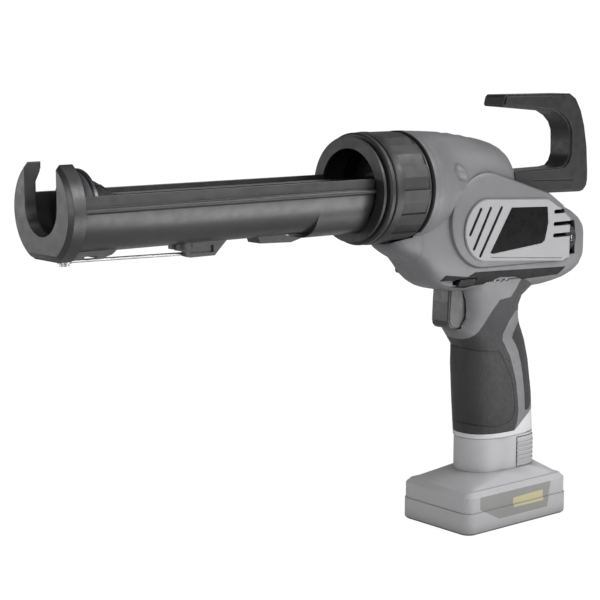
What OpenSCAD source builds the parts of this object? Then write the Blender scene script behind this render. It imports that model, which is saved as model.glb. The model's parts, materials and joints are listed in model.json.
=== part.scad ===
// Cordless caulking tool: open half round cartridge tray, lock collar, rack driven
// push rod with a pull hook, geared drive, pistol grip and a stem type battery pack.
// x runs from the nozzle end to the rear, z is up, y is across; rod axis is level.

/* [Cartridge tray] */
// inner radius of the tray, for a 50 mm cartridge
tray_inner_r = 25.2; // [24:0.1:27]
// wall thickness of the tray
tray_wall = 1.8; // [1.4:0.1:3]
// length from the nose front to the flange front
barrel_len = 242; // [200:1:300]
// height of the tray side walls above the rod axis
rim_h = 9; // [5:0.5:14]
// how far the side ledge stands out from the wall
ledge_w = 2.6; // [1:0.1:4]
// thickness of the side ledge
ledge_t = 3; // [2:0.1:5]

/* [Nose cap] */
// outer radius of the nose cap
nose_r = 33.2; // [31:0.1:38]
// thickness of the solid front plate
nose_plate_t = 7.7; // [5:0.1:10]
// length of the whole nose cap
nose_len = 11.3; // [9:0.1:16]
// width of the U slot for the nozzle
nose_slot_w = 36; // [28:0.5:40]
// height of the flat cut on top of the two arms
nose_top_z = 30; // [26:0.5:31.5]

/* [Flange and lock collar] */
// outer radius of the barrel flange
flange_r = 38.7; // [36:0.1:42]
// radius of the hole the cartridge passes
flange_hole_r = 28.1; // [27:0.1:30]
// thickness of the barrel flange
flange_t = 9.2; // [7:0.1:12]
// outer radius of the lock collar
collar_r = 39.1; // [37:0.1:43]
// length of the lock collar
collar_len = 33.5; // [26:0.5:40]
// number of finger facets around the collar
collar_facets = 14; // [8:1:20]
// depth of one facet step
facet_step = 1.4; // [0.6:0.1:2]

/* [Push rod and hook] */
// width of the rack rod
rod_w = 9; // [7:0.5:11]
// top of the rod above the axis
rod_top = 7.6; // [5:0.2:9]
// working stroke of the rod
stroke = 205; // [150:1:240]
// radius of the plunger disc
plunger_r = 24; // [21:0.1:24.4]
// width of the pull hook
hook_w = 22; // [16:0.5:28]
// height of the pull hook
hook_h = 74; // [60:1:90]
// depth of the pull hook from its tip to its back
hook_reach = 84; // [70:1:100]

/* [Gear train] */
// module of the rack and of its pinion
rack_module = 1.5; // [1.5:0.1:1.8]
// teeth of the rack pinion
pinion_teeth = 12; // [10:1:14]
// teeth of the large spur gear on the pinion shaft
big_gear_teeth = 44; // [36:1:46]
// teeth of the small gears that drive the large ones
small_teeth = 12; // [10:1:14]
// teeth of the gear the motor drives
mid_gear_teeth = 40; // [30:1:42]

/* [Housing] */
// wall thickness of the moulded halves
shell_t = 2.5; // [2:0.1:3]
// half width of the body
body_half_w = 23.5; // [22:0.5:26]
// half width over the round gear case
case_half_w = 27; // [26:0.5:30]
// radius of the round gear case
case_r = 35; // [33:0.5:38]
// half width of the grip
grip_half_w = 21; // [19:0.5:23]
// thickness of the soft grip skin
skin_t = 1.6; // [1:0.1:2]

/* [Controls] */
// travel of the trigger
trigger_travel = 7; // [4:0.5:8]
// radius of the speed dial wheel
dial_r = 11.5; // [9:0.5:12]
// ribs around the speed dial
dial_ribs = 20; // [12:1:28]
// travel of the lock slider
slider_travel = 6; // [3:0.5:8]

/* [Battery] */
// length of the battery base, front to back
base_len = 109; // [98:0.5:118]
// width of the battery base
base_w = 71.4; // [62:0.5:78]
// height of the battery base up to its top edge
base_h = 31; // [26:0.5:38]
// length of one cell
cell_len = 65; // [60:1:66]
// radius of one cell
cell_r = 9.2; // [8.5:0.1:9.3]

/* [View] */
// sub part to build

/* [Hidden] */

// general
eps = 0.02;
gap = 0.3;
far = 200;
round_fn = 64;
mid_fn = 40;
small_fn = 24;
dome_fn = 40;
body_fn = 32;
grip_fn = 28;
inner_fn = 12;
bore_fn = 12;
pad_fn = 16;

// the pack stands on its base with the rod axis this high
axis_h = 254.5;
base_x = 140;

// tray
tray_r = tray_inner_r + tray_wall;
nose_x = -barrel_len;
tray_front = nose_x + nose_plate_t;
ledge_z = 2.2;
ledge_y = tray_r + ledge_w;
chin_z = -30;
chin_half = 9;
sleeve_r = tray_r + 3;
sleeve_x = -46;
boss_x = -141;
boss_r = 8;
boss_z = -29.8;
block_x0 = -141.5;
block_x1 = -116;
block_z = -35.4;
block_half = 6.5;

// nose
slot_half = nose_slot_w / 2;
nose_bevel = 2.4;
slot_floor = -15.6;
nose_flat_z = -26.2;
nose_bottom = nose_flat_z - 4;
lip_z = 20;
ring_inner_r = ledge_y + 0.2;
pivot_x = nose_x + 15.5;
pivot_r = 1.6;
wire_r = 1.1;
wire_z = nose_bottom - gap - wire_r;
wire_end_z = block_z + 1.6;
wire_end_x = block_x1 - 6;

// collar
collar_x = flange_t + gap;
collar_end = collar_x + collar_len;
spigot_r = 32;
spigot_x1 = 20;
lug_r = 34.2;
lug_x0 = 13;
lug_x1 = 17;
collar_bore = 34.5;
lip_bore = spigot_r + gap;
nose_tube_x = spigot_x1 + gap;
seam_x = 51;

// rod
rod_bottom = -6;
tooth_h = 1.9 * rack_module;
rack_tip = 0.7;
rack_pitch_z = rod_bottom + rack_tip * rack_module;
rack_pitch = PI * rack_module;
rack_len = stroke + 24;
plunger_x = nose_x + 26;
plunger_t = 3;
hub_r = 16;
hub_x1 = plunger_x + 24;
rod_front = plunger_x - plunger_t + 0.5;
hook_x = 153.2;
rod_end = hook_x + 22;
tang_top = rod_top - 2.4;
hook_floor = -11.8;

// drive shafts, in x and z
pinion_r = rack_module * pinion_teeth / 2;
pinion_c = [103, rack_pitch_z - pinion_r];
fine_module = 1;
motor_module = 0.8;
big_r = fine_module * big_gear_teeth / 2;
small_r = fine_module * small_teeth / 2;
mid_r = motor_module * mid_gear_teeth / 2;
motor_pinion_r = motor_module * small_teeth / 2;
idler_angle = -50;
motor_angle = -25;
idler_dist = big_r + small_r;
idler_c = pinion_c + idler_dist * [cos(idler_angle), sin(idler_angle)];
motor_dist = mid_r + motor_pinion_r;
motor_c = idler_c + motor_dist * [cos(motor_angle), sin(motor_angle)];
motor_r = 14;
plate_l = [-9.5, -7.5];
big_y = [6, 11];
mid_y = [13.5, 17.5];
plate_r = [19.5, 21.5];
motor_y = [-23, 5.4];
motor_plate = [5.4, 7.4];
post_at = [[87.5, -39], [130, -14]];
post_r = 3;
motor_post = 11;
shaft_r = 3;
bush_r = shaft_r + 0.05;
backlash = 0.12;
small_tip = 0.9;
large_tip = 0.76;

// housing
// dome sections: x, and how far the height and the width fall short of the collar
dome_r = collar_r - 0.5;
dome_sections = [[seam_x, 0, 0], [55, 0, 0.8], [60, 0.1, 3], [66, 0.4, 6.2],
    [72, 0.7, 9.2], [80, 1.2, 11.6], [90, 2.1, 13], [102, 3.8, 14], [114, 5.9, 15],
    [125, 8.1, 16], [133, 10.2, 17], [140, 13, 18.4], [145, 16.2, 20.2],
    [149, 20.2, 23], [151.6, 25, 26.6], [152.6, 30, 30.6]];
// chin of the nose piece below the collar, same layout as the body sections
chin_sections = [[29.6, -40.4, -20, 14.5], [31, -42.2, -19, 10.1], [35, -45, -16, 6.9],
    [40, -47.9, -13, 4.9], [45.5, -50.8, -10.4, 3.7], [seam_x, -53.6, -8, 3]];
// body sections: x, bottom, top, and how far the width is drawn in from the body's
body_sections = [[seam_x, -53.6, -8, 3], [54.5, -57, -4, 1.9], [58, -60.8, -1, 1.2],
    [63, -66.8, 1, 0.6], [68, -71, 2, 0.3], [74, -74.2, 2, 0.1], [82, -76.4, 2, 0],
    [93, -78, 2, 0], [130, -79.6, 2, 0], [158, -80.8, -4, 0], [171, -81, -9.5, 0],
    [182, -80.6, -14, 0.1], [193, -79.4, -17.6, 0.3], [204, -77.4, -20.6, 0.7],
    [213, -74.6, -24.4, 1.7], [220, -71.2, -28.6, 3.3], [225.4, -66.8, -33, 5.9],
    [229, -61.6, -38.6, 10.1]];
case_c = [109, -26];
dial_x = [197.7, 209.7];
dial_z = [-58, -32.5];
dial_c = [-body_half_w + dial_r - 1.2, -45.5];
panel_y = case_half_w + 1.5;
screw_at = [[66, -62, 20], [160, -56, 22.5], [215, -63, 18], [147.5, -108, 16.5],
    [163, -20, 22.5]];
light_x = [124.5, 130.5, 136.5];
light_z = -71.8;
screw_r = 1.6;
head_r = 3;
guide_r = 17;
guide_x = 126.4;
guide_floor = -8.7;
screw_boss_r = 3.6;
trigger_half = 9;

// finger ripples on the dome top: x and surface height
ripple_r = 16;
ripple_at = [[89, 36.6], [101, 35], [113, 33]];
// grip sections: height, front x, rear x, half width factor
grip_sections = [[-72, 92, 182, 1.04], [-79, 101, 179, 1.02], [-86, 104, 167, 0.98],
    [-93, 104.5, 163.5, 0.95], [-99, 104, 163.4, 0.94], [-103.5, 99.6, 164, 0.94],
    [-108.5, 99.2, 165.4, 0.95], [-114, 104, 167.4, 0.98], [-121, 109.5, 170, 1], [-136, 109, 174.6, 1],
    [-162, 110.5, 179.2, 1], [-190.5, 113, 181.2, 1]];
grip_end = -190.5;

// battery
base_z = -axis_h;
seam_z = base_z + 16.1;
top_edge_z = base_z + base_h;
crown_z = top_edge_z + 7.5;
base_corner = 8;
stem_top = -141;
stem_half_x = 21;
stem_half_y = 12;
stem_x = 142;
cell_step = 9.6;
lid_t = 2.2;
boss_at = [42.4, 24.5];

// helpers
module tool() {
    translate([-base_x, 0, axis_h]) children();
}
module rod_x(r, x0, x1, fn = mid_fn) {
    translate([x0, 0, 0]) rotate([0, 90, 0]) cylinder(r = r, h = x1 - x0, $fn = fn);
}
module rod_y(r, c, y0, y1, fn = small_fn) {
    translate([c[0], y1, c[1]]) rotate([90, 0, 0]) cylinder(r = r, h = y1 - y0, $fn = fn);
}
module rod_z(r, x, y, z0, z1, fn = small_fn) {
    translate([x, y, z0]) cylinder(r = r, h = z1 - z0, $fn = fn);
}
module side(y0, y1) {
    translate([0, y1, 0]) rotate([90, 0, 0]) linear_extrude(y1 - y0) children();
}
module across(x0, x1) {
    translate([x0, 0, 0]) rotate([90, 0, 90]) linear_extrude(x1 - x0) children();
}
module level(z0, z1) {
    translate([0, 0, z0]) linear_extrude(z1 - z0) children();
}
module block(a, b) {
    translate(a) cube(b - a);
}
module lathe_x(points, fn = round_fn) {
    rotate([0, 90, 0]) rotate_extrude($fn = fn) polygon(points);
}
module slot2d(a, b, r) {
    hull() {
        translate(a) circle(r, $fn = 16);
        translate(b) circle(r, $fn = 16);
    }
}
// a convex side outline with its long edges rolled over
module soft_side(half, edge) {
    hull() {
        side(-half + edge, half - edge) children();
        side(-half + edge * 0.3, half - edge * 0.3) offset(delta = -edge * 0.3) children();
        side(-half, half) offset(delta = -edge) children();
    }
}
// involute half angle of a tooth at radius q, pitch radius r and base radius b
function roll(q, b) = q <= b ? 0 : sqrt(pow(q / b, 2) - 1) * 57.2958 - acos(b / q);
function half_tooth(q, r, b, n, play) = 90 / n - play - (roll(q, b) - roll(r, b));
// spur gear outline, with the play between the flanks and a list of radii per flank
module gear2d(m, n, bore, tip, levels) {
    r = m * n / 2;
    b = r * cos(20);
    root = r - m * 1.2;
    top = r + m * tip;
    play = backlash / r * 28.65;
    up = [for (k = [0:levels]) root + (top - root) * k / levels];
    down = [for (k = [0:levels]) top - (top - root) * k / levels];
    difference() {
        polygon([for (i = [0:n - 1]) each concat(
            [for (q = up) q * [cos(i * 360 / n - half_tooth(q, r, b, n, play)),
                sin(i * 360 / n - half_tooth(q, r, b, n, play))]],
            [for (q = down) q * [cos(i * 360 / n + half_tooth(q, r, b, n, play)),
                sin(i * 360 / n + half_tooth(q, r, b, n, play))]])]);
        if (bore > 0) circle(bore, $fn = small_fn);
    }
}

// barrel: tray, nose cap, flange and puncture wire
module tray_section(outer, inner) {
    difference() {
        union() {
            circle(outer, $fn = round_fn);
            translate([-outer, 0]) square([2 * outer, rim_h]);
        }
        circle(inner, $fn = round_fn);
        translate([-inner, 0]) square([2 * inner, far]);
        translate([-far, rim_h]) square(2 * far);
    }
}
module ledge_section(y0) {
    for (s = [-1, 1]) scale([s, 1]) polygon([[y0 - 0.4, ledge_z - ledge_t - 1], [y0 - 0.4, ledge_z],
        [y0 + ledge_w - 0.8, ledge_z], [y0 + ledge_w, ledge_z - 0.9],
        [y0 + ledge_w, ledge_z - ledge_t + 0.6], [y0 + ledge_w - 0.8, ledge_z - ledge_t]]);
}
// everything that hangs below the tray wall, joined to it inside the wall
module tray_underside() {
    side(-chin_half, chin_half) difference() {
        polygon([[nose_x + nose_len + gap, -tray_inner_r + 3],
            [nose_x + nose_len + gap, chin_z], [nose_x + 38, chin_z],
            [nose_x + 44, chin_z + 1.6], [nose_x + 52, -tray_inner_r + 3]]);
        translate([nose_x + 24, chin_z - 0.5]) square([9, 2]);
    }
    rod_z(boss_r, boss_x, 0, boss_z, -tray_inner_r + 3, mid_fn);
    side(-block_half, block_half)
        polygon([[block_x0, -tray_inner_r + 3], [block_x0, block_z + 1],
            [block_x0 + 3, block_z], [block_x1 - 3, block_z], [block_x1, block_z + 3],
            [block_x1 + 3, -tray_r - 2.6], [block_x1 + 11, -tray_inner_r + 3]]);
    side(-block_half, block_half)
        polygon([[sleeve_x - 40, -tray_inner_r + 3], [sleeve_x - 36, -tray_r - 3.6],
            [sleeve_x - 10, -tray_r - 4.6], [sleeve_x, -tray_r - 2]]);
}
module tray() {
    color("#1c1c1e") tool() difference() {
        union() {
            across(tray_front, 0) tray_section(tray_r, tray_inner_r);
            across(tray_front, 0) ledge_section(tray_r);
            across(sleeve_x, -0.5) difference() {
                circle(sleeve_r, $fn = round_fn);
                circle(tray_r - 0.9, $fn = round_fn);
                translate([-far, -ledge_t + ledge_z - 1]) square(2 * far);
            }
            difference() {
                tray_underside();
                rod_x(tray_inner_r + 0.7, tray_front - 1, 1, round_fn);
            }
        }
        rod_z(pivot_r + 0.1, pivot_x, 0, chin_z - 1, -tray_inner_r + 2);
        // groove that parks the wire, open to the side it swings to, and the block's side hollows
        block([block_x0 - 1, -wire_r - gap, block_z - 1],
            [block_x1 - 3, block_half + 1, wire_end_z + wire_r + 1]);
        for (s = [-1, 1]) translate([0, s * block_half, 0])
            block([block_x0 + 4, -1.4, block_z + 2.4], [block_x1 - 4, 1.4, -tray_r - 1.5]);
    }
}
module nose_profile(r) {
    intersection() {
        circle(r, $fn = round_fn);
        translate([-far, nose_bottom]) square([2 * far, nose_top_z - nose_bottom]);
    }
}
module nose_slot() {
    across(nose_x - 1, nose_x + nose_len + 1) hull() {
        translate([0, slot_floor + slot_half]) circle(slot_half, $fn = round_fn);
        translate([-slot_half, nose_top_z]) square([nose_slot_w, 4]);
    }
}
module nose_cap() {
    color("#26272a") tool() difference() {
        union() {
            hull() {
                across(nose_x, nose_x + 0.2) nose_profile(nose_r - nose_bevel);
                across(nose_x + nose_bevel, nose_x + nose_plate_t) nose_profile(nose_r);
            }
            across(nose_x + nose_plate_t - eps, nose_x + nose_len) difference() {
                nose_profile(nose_r);
                circle(ring_inner_r, $fn = round_fn);
            }
            intersection() {
                across(nose_x, nose_x + nose_len) nose_profile(nose_r);
                for (s = [-1, 1]) scale([1, s, 1]) side(slot_half - 1, slot_half + 7)
                    polygon([[nose_x + nose_plate_t - 1, lip_z - 6],
                        [nose_x + nose_plate_t, lip_z - 4], [nose_x + nose_len - 0.6, lip_z + 2],
                        [nose_x + nose_len - 0.6, nose_top_z],
                        [nose_x + nose_plate_t - 1, nose_top_z]]);
            }
        }
        nose_slot();
        // flat underside with a bevel up to the front face
        side(-far, far) polygon([[nose_x - 1, -far], [nose_x - 1, nose_flat_z],
            [nose_x, nose_flat_z], [nose_x + 3.4, nose_flat_z - 3.4], [nose_x + 3.4, -far]]);
        // chamfers on the two arms
        for (s = [-1, 1]) scale([1, s, 1]) side(0, far)
            polygon([[nose_x - 1, nose_top_z - 4.4], [nose_x, nose_top_z - 3.6],
                [nose_x + 4.2, nose_top_z + 0.2], [nose_x - 1, nose_top_z + 1]]);
        // window in the skirt over the chin
        block([nose_x + nose_plate_t, -chin_half - gap, -far],
            [nose_x + nose_len + 1, chin_half + gap, -tray_r]);
    }
}
module puncture_wire() {
    color("#c9ccd0") tool() {
        difference() {
            rod_z(pivot_r + 2.6, pivot_x, 0, wire_z - wire_r, wire_z + wire_r);
            rod_z(pivot_r + 0.15, pivot_x, 0, wire_z - 3, wire_z + 3);
        }
        hull() {
            translate([pivot_x + 2.8, 0, wire_z]) sphere(wire_r, $fn = 12);
            translate([wire_end_x, 0, wire_end_z]) sphere(wire_r, $fn = 12);
        }
    }
}
module wire_pivot_screw() {
    color("#8f9296") tool() {
        rod_z(pivot_r, pivot_x, 0, wire_z - wire_r - 1, -tray_inner_r - 0.6);
        difference() {
            rod_z(3, pivot_x, 0, wire_z - wire_r - 1.6, wire_z - wire_r - 0.2);
            for (a = [0, 90]) translate([pivot_x, 0, wire_z - wire_r - 1.7]) rotate(a)
                cube([3.6, 0.7, 1.2], center = true);
        }
    }
}
module barrel_flange() {
    color("#202123") tool() difference() {
        union() {
            lathe_x([[0, 0], [36.4, 0], [36.4, 2.2], [34.6, 2.9], [34.6, 4.2],
                [37.6, 4.8], [flange_r, 5.9], [flange_r, flange_t - 0.6],
                [flange_r - 0.6, flange_t], [spigot_r, flange_t], [spigot_r, lug_x0],
                [lug_r - 0.3, lug_x0], [lug_r - 0.3, lug_x1], [spigot_r, lug_x1],
                [spigot_r, spigot_x1], [0, spigot_x1]], round_fn);
        }
        lathe_x([[0, -1], [flange_hole_r, -1], [flange_hole_r, 3], [flange_hole_r + 0.9, 4],
            [flange_hole_r + 0.9, spigot_x1 + 1], [0, spigot_x1 + 1]], round_fn);
    }
}

// quick change collar on the housing nose
module facet_ring(r) {
    n = collar_facets;
    polygon([for (i = [0:n - 1]) each [
        r * [cos(i * 360 / n), sin(i * 360 / n)],
        (r - 0.2) * [cos((i + 0.5) * 360 / n), sin((i + 0.5) * 360 / n)],
        (r - facet_step) * [cos((i + 0.97) * 360 / n), sin((i + 0.97) * 360 / n)]]]);
}
module lock_collar() {
    c = collar_x;
    e = collar_end;
    color("#161617") tool() difference() {
        union() {
            lathe_x([[0, c], [collar_r - 2.2, c], [collar_r - 0.5, c + 1.2], [collar_r, c + 4],
                [collar_r, c + 7], [collar_r - facet_step - 0.35, c + 8.4],
                [collar_r - facet_step - 0.35, e - 3], [collar_r - 1, e - 2], [collar_r - 1, e - 0.6],
                [collar_r - 1.6, e], [0, e]], round_fn);
            across(c + 6, e - 2.9) rotate(90 + 12) facet_ring(collar_r - 0.1);
        }
        lathe_x([[0, c - 1], [lip_bore, c - 1], [lip_bore, lug_x0 - 0.5],
            [collar_bore, lug_x0 - 0.5], [collar_bore, e + 1], [0, e + 1]], round_fn);
    }
}

// push rod group: rod with rack, plunger, hook
module rack_teeth() {
    n = floor(rack_len / rack_pitch);
    w = rack_pitch / 4 - backlash / 2;
    up = tooth_h - rack_tip * rack_module;
    for (i = [0:n - 1]) translate([pinion_c[0] + (0.5 + 2 - i) * rack_pitch, 0])
        polygon([[-w - up * tan(20), rack_pitch_z + up + eps], [-w - up * tan(20), rack_pitch_z + up],
            [-w + rack_tip * rack_module * tan(20), rod_bottom],
            [w - rack_tip * rack_module * tan(20), rod_bottom],
            [w + up * tan(20), rack_pitch_z + up], [w + up * tan(20), rack_pitch_z + up + eps]]);
}
module push_rod() {
    teeth_x1 = pinion_c[0] + 3 * rack_pitch;
    teeth_x0 = teeth_x1 - floor(rack_len / rack_pitch) * rack_pitch;
    color("#9a9da1") tool() {
        side(-rod_w / 2, rod_w / 2) {
            difference() {
                polygon([[rod_front + 4, -rod_w / 2 + 0.5], [rod_front + 4, rod_top - 3],
                    [hub_x1 - 2, rod_top - 3], [hub_x1 + 1, rod_top], [hook_x, rod_top],
                    [hook_x, tang_top], [rod_end, tang_top], [rod_end, rod_bottom],
                    [hub_x1 + 1, rod_bottom], [hub_x1 - 2, -rod_w / 2 + 0.5]]);
                translate([teeth_x0, rod_bottom - 1])
                    square([teeth_x1 - teeth_x0, tooth_h + 1]);
                for (dx = [5, 15]) translate([hook_x + dx, 0.8]) circle(2, $fn = small_fn);
            }
            rack_teeth();
        }
        rod_x(3, rod_front, rod_front + 4 + eps);
    }
}
module plunger_disc() {
    color("#77797c") tool() difference() {
        lathe_x([[3.05, plunger_x - plunger_t], [plunger_r - 1, plunger_x - plunger_t],
            [plunger_r, plunger_x - plunger_t + 1], [plunger_r, plunger_x],
            [3.05, plunger_x]], round_fn);
        for (a = [45:90:359]) rotate([a, 0, 0]) translate([0, 15, 0])
            rod_x(2.2, plunger_x - plunger_t - 1, plunger_x - 1.2, small_fn);
    }
}
module plunger_hub() {
    color("#141415") tool() difference() {
        union() {
            lathe_x([[0, plunger_x], [hub_r + 3, plunger_x], [hub_r + 3, plunger_x + 1.6],
                [hub_r, plunger_x + 3], [hub_r, plunger_x + 10], [7.8, hub_x1], [0, hub_x1]], mid_fn);
            for (a = [30:60:359]) rotate([a, 0, 0]) side(-1, 1)
                polygon([[plunger_x + 1.5, 0], [plunger_x + 1.5, hub_r + 2.6],
                    [plunger_x + 12, hub_r - 0.4], [hub_x1, 7.6], [hub_x1, 0]]);
        }
        side(-rod_w / 2, rod_w / 2) polygon([[rod_front + 4, -rod_w / 2 + 0.5],
            [rod_front + 4, rod_top - 3], [hub_x1 - 2, rod_top - 3], [hub_x1 + 1, rod_top],
            [hub_x1 + 2, rod_top], [hub_x1 + 2, rod_bottom], [hub_x1 + 1, rod_bottom],
            [hub_x1 - 2, -rod_w / 2 + 0.5]]);
        rod_x(3.05, plunger_x - 1, rod_front + 5);
    }
}
module plunger_screw() {
    x0 = plunger_x - plunger_t;
    color("#8f9296") tool() difference() {
        lathe_x([[0, x0 - 3], [4.6, x0 - 3], [5.4, x0 - 2.2], [5.4, x0 - 0.8], [9, x0 - 0.8],
            [9, x0], [2.4, x0], [2.4, rod_front + eps], [0, rod_front]], mid_fn);
        across(x0 - 4, x0 - 1.2) circle(2.6, $fn = 6);
    }
}
module hook_outline() {
    arm = 17.8;
    top = hook_h - 11.5;
    back = hook_x + 73;
    tip = back - hook_reach + 1;
    polygon([[hook_x, -9.6], [hook_x + 1.4, -11], [back + 3, -12.6], [back + 7, -11.6],
        [back + 10, -8.5], [back + 11, -4], [back + 11, 3], [back + 9.4, 22], [back + 6, 38],
        [back + 1.6, 50], [back - 4, 58.5], [back - 11, top], [tip + 2, top],
        [tip, top - 1.6], [tip - 1.6, top - 7.4], [tip - 0.6, top - 8.6], [back - 28, top - 13],
        [back - 20, top - 16.6], [back - 13.6, top - 22], [back - 10.4, 34], [back - 10, 26],
        [back - 10, 17], [back - 12.4, 11.6], [back - 17, arm - 10], [back - 24, 6.9],
        [hook_x + 1.4, 6.9 - 0.6], [hook_x, 5]]);
}
module pull_hook() {
    color("#1b1b1d") tool() difference() {
        union() {
            side(-hook_w / 2 + 1.6, hook_w / 2 - 1.6) hook_outline();
            side(-hook_w / 2, hook_w / 2) offset(delta = -1.4) hook_outline();
        }
        // thin web between the two flanges of the upright and the upper arm
        for (s = [-1, 1]) scale([1, s, 1]) side(hook_w / 2 - 0.9, hook_w)
            polygon([[hook_x + 20, -1.2], [hook_x + 20, -2.2], [hook_x + 66, -3.6],
                [hook_x + 66, -2.6]]);
        block([hook_x - 1, -rod_w / 2 - 0.05, rod_bottom - 0.05],
            [rod_end + 0.1, rod_w / 2 + 0.05, tang_top + 0.05]);
        for (dx = [5, 15]) {
            rod_y(2, [hook_x + dx, 0.8], -hook_w / 2 + 3, hook_w);
            rod_y(3.2, [hook_x + dx, 0.8], hook_w / 2 - 2, hook_w);
        }
    }
}
module hook_pins() {
    color("#8f9296") tool() for (dx = [5, 15]) {
        rod_y(2, [hook_x + dx, 0.8], -hook_w / 2 + 3.1, hook_w / 2 - 2);
        difference() {
            rod_y(3.1, [hook_x + dx, 0.8], hook_w / 2 - 2, hook_w / 2 - 0.4);
            rod_y(1.4, [hook_x + dx, 0.8], hook_w / 2 - 1.4, hook_w / 2, 6);
        }
    }
}

// housing shapes shared by the halves and the pieces that lie on them
module case_outline() {
    hull() {
        translate(case_c) circle(case_r, $fn = round_fn);
        polygon([[179, -10.3], [193, -19], [200, -30], [200, -62], [190, -62.5]]);
    }
}
// radius of a polygon of n sides that clears a circle of radius r
function around(r, n) = r / cos(180 / n);
// sections with their half widths worked out
function drawn(list) = [for (p = list) [p[0], p[1], p[2], body_half_w - p[3]]];
function dome_list() = [for (p = dome_sections) [p[0], p[1] - dome_r, dome_r - p[1], dome_r - p[2]]];
function round_section(s, a, power) = let (c = cos(a), k = sin(a)) [s[0],
    s[3] * sign(c) * pow(abs(c), power),
    (s[1] + s[2]) / 2 + (s[2] - s[1]) / 2 * sign(k) * pow(abs(k), power)];
// skin through a row of sections across x; d grows it, cut moves its front face forwards
module x_loft(list, power, n, d, cut, tail) {
    m = len(list);
    pts = [for (k = [0:m - 1], i = [0:n - 1]) let (s = list[k],
        p = round_section([s[0], s[1] - d, s[2] + d, s[3] + d], (i + 0.5) * 360 / n, power))
        [k == 0 ? p[0] - cut : k == m - 1 ? p[0] + tail : p[0] + tail * k / m, p[1], p[2]]];
    polyhedron(pts, concat([[for (i = [0:n - 1]) i]],
        [[for (i = [n - 1:-1:0]) (m - 1) * n + i]],
        [for (k = [0:m - 2], i = [0:n - 1]) [k * n + i, (k + 1) * n + (i + 1) % n,
            k * n + (i + 1) % n]],
        [for (k = [0:m - 2], i = [0:n - 1]) [k * n + i, (k + 1) * n + i,
            (k + 1) * n + (i + 1) % n]]));
}
// every other section of a list, with both ends kept
function thinned(list) = [for (k = [0:len(list) - 1]) if (k % 2 == 0 || k == len(list) - 1) list[k]];
module body_solid(d) {
    x_loft(drawn(body_sections), 0.5, body_fn, d, 0, d);
}
module body_hollow() {
    x_loft(thinned(drawn(body_sections)), 0.5, inner_fn, -shell_t, 1, -shell_t);
}
module case_solid(d) {
    soft_side(case_half_w + d, 4) offset(delta = d) case_outline();
}
module dome_solid() {
    x_loft(dome_list(), 1, dome_fn, 0, 0, 0);
}
module dome_hollow() {
    x_loft(thinned(dome_list()), 1, inner_fn + 4, -shell_t - 0.4, 1, -shell_t);
}
function grip_point(s, d, a) = let (h = grip_half_w * s[3] + d, w = (s[2] - s[1]) / 2 + d,
    c = cos(a), k = sin(a))
    [(s[1] + s[2]) / 2 + w * sign(c) * pow(abs(c), 0.8), h * sign(k) * pow(abs(k), 0.8)];
// an end section of the grip moved straight on by some length
function grip_end_at(k, by) = let (s = grip_sections[k]) [s[0] + by, s[1], s[2], s[3]];
module grip_loft(d, ext = 0, n = grip_fn) {
    list = ext > 0 ? concat([grip_end_at(0, ext)], grip_sections,
        [grip_end_at(len(grip_sections) - 1, -ext)]) : grip_sections;
    m = len(list);
    pts = [for (k = [0:m - 1], i = [0:n - 1])
        let (s = list[k], p = grip_point(s, d, (i + 0.5) * 360 / n)) [p[0], p[1], s[0]]];
    polyhedron(pts, concat([[for (i = [n - 1:-1:0]) i]], [[for (i = [0:n - 1]) (m - 1) * n + i]],
        [for (k = [0:m - 2], i = [0:n - 1]) [k * n + i, k * n + (i + 1) % n,
            (k + 1) * n + (i + 1) % n]],
        [for (k = [0:m - 2], i = [0:n - 1]) [k * n + i, (k + 1) * n + (i + 1) % n,
            (k + 1) * n + i]]));
}
// zones of the grip seen from the side
module rubber_zone() {
    polygon([[190, -74], [153.5, -71.5], [147, -79.7], [142.6, -85.4], [130.8, -86.5],
        [124.7, -93.4], [118.7, -101.1], [113.6, -106.6], [110, -111], [107.3, -113.4],
        [104, -115.4], [60, -115.6], [60, -187], [148.4, -187], [151.4, -180.9],
        [152.8, -171.9], [151.6, -162.6], [149.4, -150.1], [145.8, -139], [142.2, -129.5],
        [137.7, -123], [134, -116.6], [134.8, -112.2], [143.2, -102.8], [150.9, -96.7],
        [190, -96.7]]);
}
module insert_zone() {
    polygon([[160, -105], [154, -107.5], [150.8, -109.7], [146.3, -112.8], [144.8, -116.3],
        [147.8, -120.4], [151.4, -126.1], [154.9, -135.7], [157.4, -145.2], [159.7, -157.7],
        [161, -173.2], [166, -173.4], [172, -170], [200, -166], [200, -104]]);
}
module ring_zone() {
    polygon([[60, -187], [148.4, -187], [152.6, -184.2], [160, -179.2], [169, -175.1],
        [200, -170], [200, grip_end - 1], [60, grip_end - 1]]);
}
module accent_loop(d) {
    offset(delta = d) polygon([[82, -121.6], [110, -122.2], [114, -123.2], [120, -123.8],
        [130.8, -124.9], [133.8, -128.8], [136.4, -133.3], [143.8, -144.8], [147.3, -155.9],
        [148.7, -171.3], [145.8, -177.8], [139.5, -180.4], [130.1, -181.6], [122.2, -180.6],
        [113, -179.2], [82, -178.8]]);
}
module accent_zone() {
    difference() {
        accent_loop(0.45);
        accent_loop(-0.45);
    }
}
module housing_outer() {
    dome_solid();
    body_solid(0);
    case_solid(0);
    grip_loft(-skin_t);
    difference() {
        grip_loft(0);
        side(-far, far) rubber_zone();
        side(-far, far) insert_zone();
        side(-far, far) ring_zone();
    }
    for (s = [-1, 1]) translate([82, s * 24, 9]) rotate([0, 33, 0]) scale([1.5, 0.85, 0.9])
        sphere(6.4, $fn = pad_fn);
}
module stem_outline(d) {
    hull() for (s = [-1, 1])
        translate([stem_x + s * (stem_half_x - stem_half_y), 0]) circle(stem_half_y + d, $fn = small_fn);
}
module hook_channel(d) {
    block([seam_x + 101.9 - d, -hook_w / 2 - 0.5 - d, hook_floor - gap - d],
        [far + 60, hook_w / 2 + 0.5 + d, far]);
}
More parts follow.
